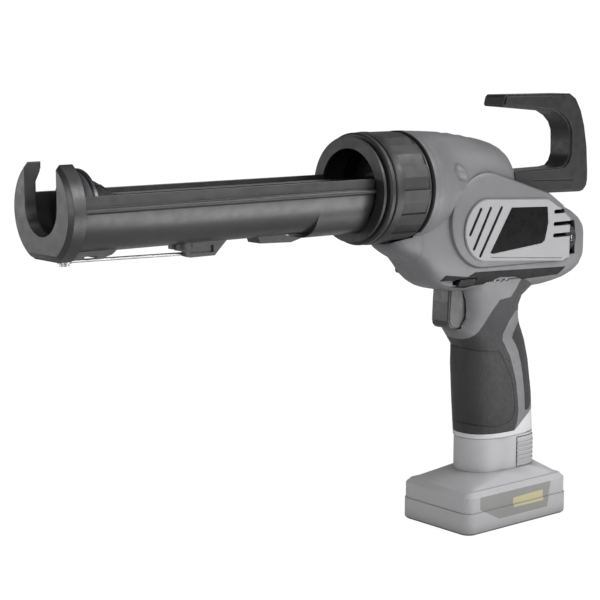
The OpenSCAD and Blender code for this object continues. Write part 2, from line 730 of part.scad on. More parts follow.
module housing_ribs() {
    hook_channel(shell_t);
    for (p = screw_at) rod_y(screw_boss_r, p, -far, far, bore_fn);
    // ring rib round the rear rod guide
    across(guide_x + 0.6, guide_x + 6.6) difference() {
        translate([-guide_r - 2.3, guide_floor]) square([2 * guide_r + 4.6, 60]);
        circle(around(guide_r + 0.05, 2 * inner_fn), $fn = 2 * inner_fn);
    }
    // shelves for the switch, the terminal block and the battery stem
    for (z = [-79.8, -104.3]) block([121.6, -far, z], [152, far, z + 2]);
    difference() {
        union() {
            level(-127, -124.8) translate([100, -50]) square([90, 100]);
            level(-152, -150) translate([100, -50]) square([90, 100]);
            level(-186, -184) translate([100, -50]) square([90, 100]);
        }
        level(-far, -130) stem_outline(gap);
        block([130, -8, -128], [152, 8, -120]);
    }
    // posts under the control board
    for (p = [[172, -54], [192, -31]]) rod_y(2.6, p, 5.6, far, bore_fn);
    // pad behind the slider and the walls that carry the dial spindle
    block([67, -far, -75], [107, -15, -65.6]);
    for (x = [193, 211.2]) block([x, -far, -51], [x + 2, -7, -39]);
}
module vent_slots() {
    for (v = [[179, 193, -24], [178.6, 199, -33.2], [178.3, 198.6, -41.8]])
        slot2d([v[0] + 1.5, v[2]], [v[1] - 1.5, v[2]], 1.5);
}
module housing_cavity() {
    difference() {
        union() {
            dome_hollow();
            body_hollow();
            case_solid(-shell_t);
            grip_loft(-skin_t - shell_t, 2, inner_fn);
            // open joint to the nose piece
            side(-12, 12) polygon([[seam_x - 1, -46], [seam_x - 1, -22], [seam_x + 9, -22],
                [seam_x + 9, -50]]);
        }
        housing_ribs();
    }
}
module housing_half(s) {
    intersection() {
        block([0, s < 0 ? -60 : 0, -far], [far + 60, s < 0 ? 0 : 60, 60]);
        difference() {
            housing_outer();
            housing_cavity();
            hook_channel(0);
            block([140, -rod_w / 2 - gap, rod_bottom - gap], [160, rod_w / 2 + gap, rod_top + gap]);
            block([80, -trigger_half - 0.4, -106.4], [121.6, trigger_half + 0.4, -60]);
            for (p = screw_at) {
                rod_y(around(screw_r + 0.04, bore_fn), p, -14, far, bore_fn);
                rod_y(around(head_r + 0.15, bore_fn), p, p[2] - 2, far, bore_fn);
            }
            side(-far, far) vent_slots();
            // shallow ripples on top of the dome
            for (p = ripple_at) translate([p[0], 0, p[1] + ripple_r - 1]) rotate([90, 0, 0])
                cylinder(r = ripple_r, h = 30, center = true, $fn = 48);
            if (s < 0) {
                block([dial_x[0] - 0.7, -far, dial_z[0]], [dial_x[1] + 0.7, -body_half_w + 7, dial_z[1]]);
                translate([0, dial_c[0], dial_c[1]]) rod_x(2.02, 192, 214.4, small_fn);
                for (x = light_x) rod_y(around(1.23, bore_fn), [x, light_z], -far, -12, bore_fn);
                block([69, -far, -73], [105, -18, -67.6]);
                block([84, -far, -71.8], [99.6, -12, -68.8]);
                block([82.6, -15.2, -72.9], [101.2, -13, -67.4]);
            }
        }
    }
}
module housing_left() {
    color("#3c3e42") tool() housing_half(-1);
}
module housing_right() {
    color("#3c3e42") tool() housing_half(1);
}
module nose_housing() {
    color("#35373a") tool() difference() {
        union() {
            lathe_x([[0, nose_tube_x], [lug_r, nose_tube_x], [lug_r, collar_end + gap],
                [collar_r - 0.9, collar_end + gap], [collar_r - 0.1, collar_end + 1.2],
                [collar_r - 0.1, seam_x - 1], [dome_r, seam_x], [0, seam_x]], round_fn);
            difference() {
                x_loft(drawn(chin_sections), 0.5, body_fn, 0, 0, 0);
                rod_x(collar_r + 0.3, 20, collar_end + gap - 0.1, round_fn);
            }
        }
        lathe_x([[0, 10], [29.5, 10], [29.5, 34], [26, 34], [26, seam_x + 1], [0, seam_x + 1]],
            round_fn);
        block([collar_end + 3, -16, -48], [seam_x + 1, 16, -40]);
    }
}
module housing_screws() {
    color("#77797c") tool() for (p = screw_at) difference() {
        union() {
            rod_y(screw_r, p, -13, p[2] - 2);
            rod_y(head_r, p, p[2] - 2, p[2]);
        }
        for (a = [0, 90]) translate([p[0], p[2], p[1]]) rotate([0, a, 0])
            cube([3.6, 1.6, 0.7], center = true);
    }
}

// side panels with blank name plates
module panel_outline() {
    hull() {
        translate([108, -33]) circle(22.5, $fn = mid_fn);
        polygon([[172, -13.7], [186, -21], [198, -30], [200, -58], [190, -61.5]]);
    }
}
module plate_outline() {
    polygon([[133, -18.2], [171.4, -19.8], [172.4, -31.9], [169, -44.5], [165.6, -46.4],
        [114.5, -50.3], [111.4, -49.7]]);
}
module panel(s) {
    scale([1, s, 1]) difference() {
        union() {
            side(case_half_w - 3.4, panel_y - 0.5) panel_outline();
            side(case_half_w - 1, panel_y) offset(delta = -0.6) panel_outline();
        }
        case_solid(0);
        body_solid(0);
        side(0, far) vent_slots();
        side(case_half_w - 2, far) for (v = [[101, -17.5, 90.5, -35], [111, -17.3, 94.6, -45.5],
            [122.3, -17.6, 101, -51]]) slot2d([v[0], v[1]], [v[2], v[3]], 1.2);
        side(panel_y - 0.7, far) offset(delta = 0.1) plate_outline();
        side(panel_y - 0.4, far) difference() {
            polygon([[112, -53.2], [188, -59.4], [188.1, -58.8], [112, -52.6]]);
        }
        if (s < 0) block([dial_x[0] - 0.7, 0, dial_z[0]], [far, far, dial_z[1]]);
    }
}
module panel_left() {
    color("#83868a") tool() panel(-1);
}
module panel_right() {
    color("#83868a") tool() panel(1);
}
module name_plates() {
    color("#101011") tool() for (s = [-1, 1]) scale([1, s, 1])
        side(panel_y - 0.7, panel_y + 0.2) plate_outline();
}
module side_bands() {
    color("#2a2b2d") tool() difference() {
        body_solid(0.4);
        body_solid(0);
        case_solid(0.3);
        grip_loft(0, 3);
        side(-far, far) difference() {
            translate([0, -150]) square([260, 200]);
            polygon([[70.2, -68], [73.7, -63.7], [95.7, -66.6], [102.5, -63.6], [200, -67.4],
                [193, -72.6], [150, -73], [103, -73.6], [96, -75], [72, -71.5]]);
        }
        block([0, -12, -far], [far + 60, 12, far]);
        for (s = [-1, 1]) scale([1, s, 1]) block([69, 10, -73], [105, far, -67.6]);
        for (x = light_x) rod_y(1.25, [x, light_z], -far, -12);
    }
}

// rod guides
module rod_guides() {
    color("#4a4c50") tool() difference() {
        union() {
            lathe_x([[0, 22], [11, 22], [12, 23], [12, 27], [19, 27], [20, 28], [20, 30.5], [27, 30.5],
                [29.45, 31.5], [29.45, 34], [0, 34]], mid_fn);
            lathe_x([[0, guide_x], [guide_r, guide_x], [guide_r, guide_x + 7.2],
                [13, guide_x + 9.6], [0, guide_x + 9.6]], mid_fn);
        }
        block([0, -rod_w / 2 - gap, rod_bottom - gap], [160, rod_w / 2 + gap, rod_top + gap]);
        block([guide_x - 6, -far, -far], [guide_x + 20, far, guide_floor]);
    }
}

// gear train in its frame
module frame_plate(y, points, r) {
    side(y[0], y[1]) difference() {
        hull() for (p = points) translate(p) circle(r, $fn = small_fn);
        for (p = [pinion_c, idler_c]) translate(p) circle(bush_r, $fn = small_fn);
        children();
    }
}
function motor_post_at(a) = motor_c + motor_post * [cos(a), sin(a)];
module gear_frame() {
    posts = [motor_post_at(-60), motor_post_at(20)];
    color("#5d6064") tool() {
        frame_plate(plate_l, [pinion_c, idler_c, post_at[0], post_at[1]], 5)
            translate([108, -24]) circle(3, $fn = small_fn);
        frame_plate(plate_r, [pinion_c, idler_c, post_at[0], post_at[1], motor_c, posts[0],
            posts[1]], 4.4) translate(motor_c) circle(2.05, $fn = small_fn);
        side(motor_plate[0], motor_plate[1]) difference() {
            translate(motor_c) circle(13.4, $fn = mid_fn);
            translate(motor_c) circle(4, $fn = small_fn);
        }
        for (p = posts) rod_y(1.9, p, motor_plate[1] - eps, plate_r[0] + eps);
        for (p = post_at) difference() {
            rod_y(post_r, p, -case_half_w + shell_t, case_half_w - shell_t);
            rod_y(1.2, p, -case_half_w + shell_t - 1, -case_half_w + shell_t + 6);
        }
    }
}
module rack_pinion() {
    color("#a3a6aa") tool() {
        translate([pinion_c[0], 0, pinion_c[1]]) {
            side(-4.4, 4.4) gear2d(rack_module, pinion_teeth, 0, small_tip, 3);
            side(big_y[0], big_y[1]) difference() {
                rotate(idler_angle) gear2d(fine_module, big_gear_teeth, 0, large_tip, 2);
                for (a = [30:60:359]) rotate(a) translate([13.6, 0]) circle(3.4, $fn = small_fn);
            }
            side(4.3, big_y[0] + eps) circle(6, $fn = small_fn);
            rod_y(shaft_r, [0, 0], plate_l[0] - 1, plate_r[1] + 1);
        }
    }
}
module idler_gear() {
    color("#a3a6aa") tool() {
        translate([idler_c[0], 0, idler_c[1]]) {
            side(big_y[0], big_y[1]) rotate(idler_angle + 180 + 15)
                gear2d(fine_module, small_teeth, 0, small_tip, 3);
            side(mid_y[0], mid_y[1]) difference() {
                rotate(motor_angle) gear2d(motor_module, mid_gear_teeth, 0, large_tip, 2);
                for (a = [0:72:359]) rotate(a) translate([10, 0]) circle(2.4, $fn = small_fn);
            }
            side(big_y[1] - eps, mid_y[0] + eps) circle(4.6, $fn = small_fn);
            rod_y(shaft_r, [0, 0], plate_l[0] - 1, plate_r[1] + 1);
        }
    }
}
module motor() {
    y0 = motor_y[0];
    y1 = motor_y[1];
    color("#6f7276") tool() translate([motor_c[0], 0, motor_c[1]]) difference() {
        union() {
            rotate([90, 0, 0]) rotate_extrude($fn = mid_fn) polygon([[0, -y1], [motor_r - 1, -y1],
                [motor_r, -y1 + 1], [motor_r, -y0 - 5], [motor_r - 0.8, -y0 - 4.4],
                [motor_r - 0.8, -y0 - 1], [motor_r - 2, -y0], [0, -y0]]);
        }
        rod_y(2.6, [0, 0], y0 - 1, y1 + 1);
        for (a = [45, 225]) rotate([0, a, 0]) rod_y(1.6, [10, 0], y0 - 1, y0 + 3);
    }
}
module motor_shaft() {
    color("#c0c3c7") tool() translate([motor_c[0], 0, motor_c[1]]) {
        rod_y(2, [0, 0], motor_y[0] + 1, plate_r[1] + 0.6);
        side(mid_y[0], mid_y[1]) rotate(motor_angle + 180 + 15)
            gear2d(motor_module, small_teeth, 0, small_tip, 3);
    }
}

// electronics and controls
module control_board() {
    color("#1f5a3a") tool() {
        side(4, 5.6) difference() {
            polygon([[167, -60], [198, -60], [198, -34], [190, -25], [176, -25], [167, -32]]);
            for (p = [[172, -54], [192, -31]]) translate(p) circle(1.2, $fn = small_fn);
        }
        rod_y(4, [176, -40], -8, 4);
        rod_y(4, [187, -44], -7, 4);
        block([171, 0, -51], [180, 4, -46.5]);
        block([184, -3, -58], [194, 4, -53]);
        for (i = [0:3]) block([181 + i * 3, 2.6, -36], [182.6 + i * 3, 4, -33]);
    }
}
module speed_dial() {
    color("#47494c") tool() translate([0, dial_c[0], dial_c[1]]) difference() {
        across(dial_x[0], dial_x[1]) difference() {
            circle(dial_r - 1.05, $fn = round_fn);
            circle(2.07, $fn = small_fn);
        }
        across(dial_x[0] - 1, dial_x[0] + 1.4) difference() {
            circle(dial_r - 3, $fn = mid_fn);
            circle(4, $fn = small_fn);
        }
    }
    color("#47494c") tool() translate([0, dial_c[0], dial_c[1]])
        across(dial_x[0] + 0.6, dial_x[1] - 1.2) difference() {
            circle(dial_r, $fn = round_fn);
            circle(dial_r - 1.7, $fn = round_fn);
            for (i = [0:dial_ribs - 1]) rotate(i * 360 / dial_ribs) translate([dial_r + 0.2, 0])
                circle(0.9, $fn = 8);
        }
}
module dial_spindle() {
    color("#8f9296") tool() translate([0, dial_c[0], dial_c[1]]) {
        rod_x(2, 192, 214, small_fn);
        rod_x(2.9, dial_x[0] - 1.6, dial_x[0] - 0.4, small_fn);
        rod_x(2.9, dial_x[1] + 0.4, dial_x[1] + 1.3, small_fn);
    }
}
module gauge_lights() {
    color("#b9d7a0") tool() for (x = light_x) rod_y(1.2, [x, light_z], -21, -15);
}
module lock_slider() {
    color("#17181a") tool() {
        intersection() {
            across(86.4, 103.4) polygon([[-18.3, -67.9], [-22.6, -67.9], [-22.8, -69], [-21, -72.7],
                [-18.3, -72.7]]);
            side(-30, 0) polygon([[87.8, -72.8], [102, -72.8], [103.4, -71.4], [103.4, -69.2],
                [102, -67.8], [87.8, -67.8], [86.4, -69.2], [86.4, -71.4]]);
        }
        block([90.6, -18.4, -71.5], [99.2, -14.6, -69.1]);
        block([89.2, -14.7, -72.4], [100.6, -13.4, -68]);
    }
}
module trigger_outline() {
    polygon([[90.6, -70], [90.4, -77.5], [89.8, -86], [89.4, -94.5], [89.2, -100], [89.8, -103.4],
        [91.6, -105.2], [94, -106], [101, -106], [103.2, -105.2], [104, -103], [104, -70]]);
}
module trigger() {
    color("#141416") tool() difference() {
        union() {
            side(-trigger_half + 1.6, trigger_half - 1.6) trigger_outline();
            side(-trigger_half + 0.5, trigger_half - 0.5) intersection() {
                trigger_outline();
                translate([0.6, 0.4]) trigger_outline();
            }
            side(-trigger_half, trigger_half) intersection() {
                trigger_outline();
                translate([1.7, 1.2]) trigger_outline();
            }
        }
        side(-trigger_half + 2.4, trigger_half - 2.4)
            polygon([[94, -72], [94, -102], [105, -102], [105, -72]]);
    }
}
module trigger_core() {
    color("#4b4d51") tool() {
        side(-trigger_half + 0.6, trigger_half - 0.6)
            polygon([[104, -70.4], [104, -104.6], [110, -104.2], [112, -102], [112, -70.4]]);
        side(-trigger_half + 2.5, trigger_half - 2.5)
            polygon([[96, -84], [96, -101.9], [104.1, -101.9], [104.1, -84]]);
        translate([0, 0, -90]) rod_x(2.5, 112 - eps, 123.4);
    }
}
module switch_module() {
    color("#232427") tool() difference() {
        union() {
            block([122, -8, -102.3], [147, 8, -79.8]);
            translate([0, 0, -90]) rod_x(4.4, 120.4, 122.4);
            for (y = [-5, 5]) block([147, y - 1.4, -95], [150.4, y + 1.4, -92]);
        }
        translate([0, 0, -90]) rod_x(2.56, 119, 132);
    }
}

// soft covering of the grip
module rubber_grip() {
    color("#2b2c2e") tool() difference() {
        grip_loft(0);
        grip_loft(-skin_t, 1);
        body_solid(0);
        side(-far, far) difference() {
            translate([0, -far - 50]) square([260, 250]);
            rubber_zone();
        }
        side(-far, far) accent_zone();
        block([60, -trigger_half - 0.4, -106.4], [121.6, trigger_half + 0.4, -60]);
    }
}
module grip_accent() {
    color("#9fa2a6") tool() difference() {
        grip_loft(0.1);
        grip_loft(-skin_t, 1);
        side(-far, far) difference() {
            translate([0, -far - 50]) square([260, 250]);
            accent_zone();
        }
    }
}
module rear_insert() {
    color("#1a1b1c") tool() difference() {
        grip_loft(0);
        grip_loft(-skin_t, 1);
        side(-far, far) difference() {
            translate([0, -far - 50]) square([260, 250]);
            insert_zone();
        }
    }
}
module handle_ring() {
    color("#8d9094") tool() difference() {
        grip_loft(0);
        grip_loft(-skin_t, 1);
        side(-far, far) difference() {
            translate([0, -far - 50]) square([260, 250]);
            ring_zone();
        }
    }
}
module terminal_block() {
    color("#232427") tool() difference() {
        block([124, -11, -138.6], [160, 11, -127]);
        for (s = [-1, 1]) block([stem_x + s * 9.6 - 5.4, -1.2, -140], [stem_x + s * 9.6 + 5.4, 1.2, -130]);
        for (s = [-1, 1]) block([stem_x - 4, s * 6 - 0.9, -140], [stem_x + 4, s * 6 + 0.9, -132]);
        block([133, -7, -129.4], [151, 7, -126]);
    }
}

// battery pack
module pad2d(d) {
    translate([base_x, 0]) hull() for (i = [-1, 1], j = [-1, 1])
        translate([i * (base_len / 2 - base_corner), j * (base_w / 2 - base_corner)])
            circle(base_corner + d, $fn = pad_fn);
}
module neck2d(d) {
    hull() for (x = [113 + 18.6, 140]) translate([x, 0]) circle(18.6 + d, $fn = grip_fn);
    hull() for (x = [126 + 20.4, 181.2 - 20.4]) translate([x, 0]) circle(20.4 + d, $fn = grip_fn);
}
module corner_bosses(r, z0, z1) {
    for (i = [-1, 1], j = [-1, 1])
        rod_z(r, base_x + i * boss_at[0], j * boss_at[1], z0, z1);
}
module battery_bottom() {
    color("#8e9195") tool() difference() {
        hull() {
            level(base_z, base_z + eps) pad2d(-1.4);
            level(base_z + 1.4, seam_z) pad2d(0);
        }
        difference() {
            level(base_z + lid_t, seam_z + 1) pad2d(-lid_t);
            corner_bosses(3.6, base_z, far);
        }
        corner_bosses(1.55, base_z - 1, far);
        corner_bosses(3, base_z - 1, base_z + 2.6);
    }
}
module battery_top() {
    color("#96999d") tool() difference() {
        union() {
            hull() {
                level(seam_z, top_edge_z - 3.4) pad2d(-0.7);
                level(top_edge_z - 0.6, top_edge_z) pad2d(-4.4);
            }
            hull() {
                level(top_edge_z - 1, top_edge_z) pad2d(-6);
                level(crown_z - 1, crown_z) hull() neck2d(1.6);
            }
            level(top_edge_z, grip_end - gap) neck2d(0);
        }
        difference() {
            hull() {
                level(seam_z - 1, top_edge_z - 5) pad2d(-lid_t - 0.7);
                level(top_edge_z - 3, top_edge_z - lid_t) pad2d(-6.5);
            }
            corner_bosses(3.6, -far - 60, far);
        }
        level(seam_z, grip_end - gap - 2.4) neck2d(-2.4);
        level(-far - 20, -far + 40) stem_outline(0.05);
        corner_bosses(1.55, seam_z - 1, seam_z + 9);
        latch_windows();
    }
}
module latch_windows() {
    for (s = [-1, 1]) scale([1, s, 1]) block([151.6, 11.3, -215.4], [174.4, far, -192.6]);
}
module battery_stem() {
    color("#2a2b2e") tool() difference() {
        union() {
            level(-213, stem_top - 1) stem_outline(0);
            level(stem_top - 1 - eps, stem_top) stem_outline(-0.8);
            level(-213, -211) stem_outline(2);
        }
        for (s = [-1, 1]) rod_z(cell_r + 0.06, stem_x + s * cell_step, 0, -210.6, stem_top - 2, mid_fn);
        block([stem_x - cell_step, -3, -210.6], [stem_x + cell_step, 3, stem_top - 2]);
        for (s = [-1, 1]) block([stem_x + s * 9.6 - 4.05, -0.85, -150], [stem_x + s * 9.6 + 4.05, 0.85, -far + 160]);
    }
}
module battery_cells() {
    z0 = -210.4;
    zb = base_z + lid_t + cell_r + 0.1;
    color("#2f6d8c") tool() {
        for (s = [-1, 1]) {
            rod_z(cell_r, stem_x + s * cell_step, 0, z0, z0 + cell_len - 1.2, mid_fn);
            rod_z(2.8, stem_x + s * cell_step, 0, z0 + cell_len - 1.3, z0 + cell_len, small_fn);
        }
        for (i = [-1:1]) translate([0, i * 2 * cell_step, zb]) {
            rod_x(cell_r, base_x - cell_len / 2, base_x + cell_len / 2 - 1.2);
            rod_x(2.8, base_x + cell_len / 2 - 1.3, base_x + cell_len / 2, small_fn);
        }
    }
}
module battery_contacts() {
    z1 = -210.4 + cell_len;
    zb = base_z + lid_t + cell_r + 0.1;
    color("#c9a24a") tool() {
        for (s = [-1, 1]) {
            block([stem_x + s * cell_step - 4, -0.8, z1 + 1], [stem_x + s * cell_step + 4, 0.8, -133]);
            block([stem_x + s * cell_step - 4, -3, z1], [stem_x + s * cell_step + 4, 3, stem_top - 2]);
        }
        for (s = [-1, 1]) block([base_x + s * (cell_len / 2 + 0.2) - 0.2, -24, zb - 4],
            [base_x + s * (cell_len / 2 + 0.2) + 0.2, 24, zb + 4]);
    }
}
module latch(s) {
    scale([1, s, 1]) intersection() {
        union() {
            level(-215, -193) difference() {
                neck2d(0.5);
                neck2d(-2.8);
            }
            for (z = [-212:3.4:-196]) level(z, z + 1.5) difference() {
                neck2d(1);
                neck2d(-1);
            }
        }
        block([152, 13.6, -215], [174, far, -193]);
    }
}
module latch_left() {
    color("#222325") tool() latch(-1);
}
module latch_right() {
    color("#222325") tool() latch(1);
}
module battery_screws() {
    color("#77797c") tool() difference() {
        union() {
            corner_bosses(1.5, base_z + 2, seam_z + 8);
            corner_bosses(2.8, base_z + 0.8, base_z + 2.6);
        }
        for (i = [-1, 1], j = [-1, 1], a = [0, 90])
            translate([base_x + i * boss_at[0], j * boss_at[1], base_z + 0.8]) rotate(a)
                cube([3.2, 0.7, 1.6], center = true);
    }
}

tray();
nose_cap();
puncture_wire();
wire_pivot_screw();
barrel_flange();
lock_collar();
push_rod();
plunger_disc();
plunger_hub();
plunger_screw();
pull_hook();
hook_pins();
nose_housing();
housing_left();
housing_right();
housing_screws();
panel_left();
panel_right();
name_plates();
side_bands();
rod_guides();
gear_frame();
rack_pinion();
idler_gear();
motor();
motor_shaft();
control_board();
speed_dial();
dial_spindle();
gauge_lights();
lock_slider();
trigger();
trigger_core();
switch_module();
rubber_grip();
grip_accent();
rear_insert();
handle_ring();
terminal_block();
battery_top();
battery_bottom();
battery_stem();
battery_cells();
battery_contacts();
latch_left();
latch_right();
battery_screws();
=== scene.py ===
import bpy
import bmesh
import json
import math
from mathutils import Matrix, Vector


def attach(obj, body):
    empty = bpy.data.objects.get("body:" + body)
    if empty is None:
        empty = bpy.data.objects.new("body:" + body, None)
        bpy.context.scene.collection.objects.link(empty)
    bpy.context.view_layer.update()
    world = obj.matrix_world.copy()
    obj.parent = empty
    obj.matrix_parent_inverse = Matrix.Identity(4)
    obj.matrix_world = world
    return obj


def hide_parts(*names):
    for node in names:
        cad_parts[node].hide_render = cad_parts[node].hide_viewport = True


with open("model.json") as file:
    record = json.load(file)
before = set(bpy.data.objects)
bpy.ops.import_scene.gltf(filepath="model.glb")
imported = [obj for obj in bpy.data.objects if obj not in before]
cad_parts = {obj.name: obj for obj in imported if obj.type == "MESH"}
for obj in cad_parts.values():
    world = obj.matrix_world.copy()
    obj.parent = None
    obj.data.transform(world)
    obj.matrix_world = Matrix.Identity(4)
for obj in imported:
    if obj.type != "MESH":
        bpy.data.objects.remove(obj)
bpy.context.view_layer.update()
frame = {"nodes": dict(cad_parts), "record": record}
NODES = frame["nodes"]

MM = 0.001
# the part's source draws in its own frame: rod axis at z 0, flange front at x 0
TOOL = Vector((-140, 0, 254.5))


def at(x, y, z):
    """A point of the part's own drawing frame, in metres of the row frame."""
    return (Vector((x, y, z)) + TOOL) * MM


# ---------------------------------------------------------------- materials
# sockets of the colour mix node, which has one of each kind of value
MIX_FACTOR, MIX_A, MIX_B, MIX_RESULT = 0, 6, 7, 2
BEVEL_SAMPLES = 6
# painted shade: moulded plastics darken their colour by ambient occlusion in creases and
# recesses; these set its samples, its reach and how dark the painted shade gets
OCCLUSION_SAMPLES = 6
OCCLUSION_REACH = 11 * MM
PAINTED_CREASE_SHADE = 0.22
# how bright the floor's white is to the camera, and how much of it is not shading
FLOOR_GLOW = 1.13
FLOOR_GLOW_SHARE = 0.86


class Graph:
    """A short way to write a material's nodes."""

    def __init__(self, name):
        self.material = bpy.data.materials.new(name)
        self.material.use_nodes = True
        self.tree = self.material.node_tree
        self.tree.nodes.clear()
        self.out = self.node("ShaderNodeOutputMaterial")
        self.shader = self.node("ShaderNodeBsdfPrincipled")
        self.join(self.shader, "BSDF", self.out, "Surface")
        self.coord = self.node("ShaderNodeTexCoord")

    def node(self, kind, **values):
        made = self.tree.nodes.new(kind)
        for key, value in values.items():
            if key in made.inputs:
                made.inputs[key].default_value = value
            else:
                setattr(made, key, value)
        return made

    def link(self, output, into):
        self.tree.links.new(output, into)

    def join(self, a, out, b, into):
        """Links two nodes by the names of their sockets."""
        self.link(a.outputs[out], b.inputs[into])

    def stretched(self, scale):
        """Object coordinates, scaled along each axis."""
        made = self.node("ShaderNodeMapping")
        made.inputs["Scale"].default_value = scale
        self.join(self.coord, "Object", made, "Vector")
        return made

    def noise(self, scale, detail=2.0, rough=0.5, source=None):
        made = self.node("ShaderNodeTexNoise")
        made.inputs["Scale"].default_value = scale
        made.inputs["Detail"].default_value = detail
        made.inputs["Roughness"].default_value = rough
        if source is None:
            self.join(self.coord, "Object", made, "Vector")
        else:
            self.join(source, "Vector", made, "Vector")
        return made

    def spread(self, source, out, low, high, start=0.3, end=0.7):
        """Maps a value between start and end to one between low and high."""
        made = self.node("ShaderNodeMapRange")
        made.inputs["From Min"].default_value = start
        made.inputs["From Max"].default_value = end
        made.inputs["To Min"].default_value = low
        made.inputs["To Max"].default_value = high
        self.join(source, out, made, "Value")
        return made

    def tint(self, factor, out, a, b):
        """A colour between a and b."""
        made = self.node("ShaderNodeMix", data_type="RGBA")
        made.inputs[MIX_A].default_value = (*a, 1)
        made.inputs[MIX_B].default_value = (*b, 1)
        self.link(factor.outputs[out], made.inputs[MIX_FACTOR])
        return made

    def relief(self, height, out, strength, distance, below):
        """Bumps of a height map over the normal of another node."""
        made = self.node("ShaderNodeBump")
        made.inputs["Strength"].default_value = strength
        made.inputs["Distance"].default_value = distance
        self.join(height, out, made, "Height")
        self.join(below, "Normal", made, "Normal")
        return made

    def rounded(self, radius):
        """A normal that is rounded over the edges."""
        made = self.node("ShaderNodeBevel", samples=BEVEL_SAMPLES)
        made.inputs["Radius"].default_value = radius
        return made


def shade(colour, by):
    """A colour made lighter or darker by a factor."""
    return tuple(max(0.0, min(1.0, c * by)) for c in colour)


def moulded(name, colour, rough, grain, depth, vary, edge, level):
    """Moulded plastic: a spark eroded grain, a slow drift of tone, and painted shade that darkens
    the colour in creases, recesses and between parts.

    grain is the size of the grain, depth its height and edge the radius of the softened
    edges, all in mm. vary is the share by which the tone drifts and level the specular level.
    """
    g = Graph(name)
    slow = g.noise(22, 3)
    fine = g.noise(1 / (grain * MM), 2, 0.55)
    drift = g.tint(g.spread(slow, "Fac", 0, 1), "Result",
                   shade(colour, 1 - vary), shade(colour, 1 + vary))
    # painted shade: the colour goes towards a darker copy of itself where ambient occlusion finds
    # nearby surfaces
    occlusion = g.node("ShaderNodeAmbientOcclusion", samples=OCCLUSION_SAMPLES)
    occlusion.inputs["Distance"].default_value = OCCLUSION_REACH
    painted_crease_shade = g.node("ShaderNodeMix", data_type="RGBA")
    painted_crease_shade.inputs[MIX_A].default_value = (*shade(colour, PAINTED_CREASE_SHADE), 1)
    g.link(g.spread(occlusion, "AO", 0, 1, 0.2, 0.9).outputs["Result"], painted_crease_shade.inputs[MIX_FACTOR])
    g.link(drift.outputs[MIX_RESULT], painted_crease_shade.inputs[MIX_B])
    g.link(painted_crease_shade.outputs[MIX_RESULT], g.shader.inputs["Base Color"])
    polish = g.spread(g.noise(160, 3), "Fac", rough - 0.06, rough + 0.07)
    g.join(polish, "Result", g.shader, "Roughness")
    bumps = g.relief(fine, "Fac", 0.55, depth * MM, g.rounded(edge * MM))
    g.join(bumps, "Normal", g.shader, "Normal")
    g.shader.inputs["Specular IOR Level"].default_value = level
    return g.material


def soft_rubber(name, colour, rough, pits=1.1, depth=0.10):
    """Overmoulded rubber: matt, with small closed pits and a dusty bloom. Sizes are in mm."""
    g = Graph(name)
    cells = g.node("ShaderNodeTexVoronoi", feature="F1")
    cells.inputs["Scale"].default_value = 1 / (pits * MM)
    g.join(g.coord, "Object", cells, "Vector")
    dust = g.noise(60, 4)
    bloom = g.tint(g.spread(dust, "Fac", 0, 1), "Result",
                   shade(colour, 0.85), shade(colour, 1.25))
    g.link(bloom.outputs[MIX_RESULT], g.shader.inputs["Base Color"])
    polish = g.spread(g.noise(300, 2), "Fac", rough - 0.05, rough + 0.08)
    g.join(polish, "Result", g.shader, "Roughness")
    bumps = g.relief(cells, "Distance", 0.7, depth * MM, g.rounded(0.45 * MM))
    g.join(bumps, "Normal", g.shader, "Normal")
    g.shader.inputs["Specular IOR Level"].default_value = 0.35
    g.shader.inputs["Sheen Weight"].default_value = 0.12
    return g.material


def worked_metal(name, colour, rough, along=(1, 0, 0)):
    """Drawn or turned metal: fine lines along one axis over a slow change of tone."""
    g = Graph(name)
    long_scale, cross_scale = 60, 4200
    scales = tuple(long_scale if a else cross_scale for a in along)
    lines = g.noise(1, 3, 0.6, g.stretched(scales))
    slow = g.noise(40, 2)
    tone = g.tint(g.spread(slow, "Fac", 0, 1), "Result",
                  shade(colour, 0.85), shade(colour, 1.12))
    g.link(tone.outputs[MIX_RESULT], g.shader.inputs["Base Color"])
    g.join(g.spread(lines, "Fac", rough - 0.08, rough + 0.1), "Result", g.shader, "Roughness")
    bumps = g.relief(lines, "Fac", 0.4, 0.012 * MM, g.rounded(0.3 * MM))
    g.join(bumps, "Normal", g.shader, "Normal")
    g.shader.inputs["Metallic"].default_value = 1.0
    return g.material


def pale_floor(name, colour):
    """Studio sweep: white to the camera, plain pale where it lights the part."""
    g = Graph(name)
    soft = g.noise(3, 2)
    tone = g.tint(soft, "Fac", shade(colour, 0.985), colour)
    g.link(tone.outputs[MIX_RESULT], g.shader.inputs["Base Color"])
    g.shader.inputs["Roughness"].default_value = 0.75
    g.shader.inputs["Specular IOR Level"].default_value = 0.2
    glow = g.node("ShaderNodeEmission")
    glow.inputs["Strength"].default_value = FLOOR_GLOW
    part = g.node("ShaderNodeMixShader")
    part.inputs[0].default_value = FLOOR_GLOW_SHARE
    g.link(g.shader.outputs["BSDF"], part.inputs[1])
    g.link(glow.outputs["Emission"], part.inputs[2])
    path = g.node("ShaderNodeLightPath")
    both = g.node("ShaderNodeMixShader")
    g.link(path.outputs["Is Camera Ray"], both.inputs[0])
    g.link(g.shader.outputs["BSDF"], both.inputs[1])
    g.link(part.outputs["Shader"], both.inputs[2])
    g.join(both, "Shader", g.out, "Surface")
    return g.material


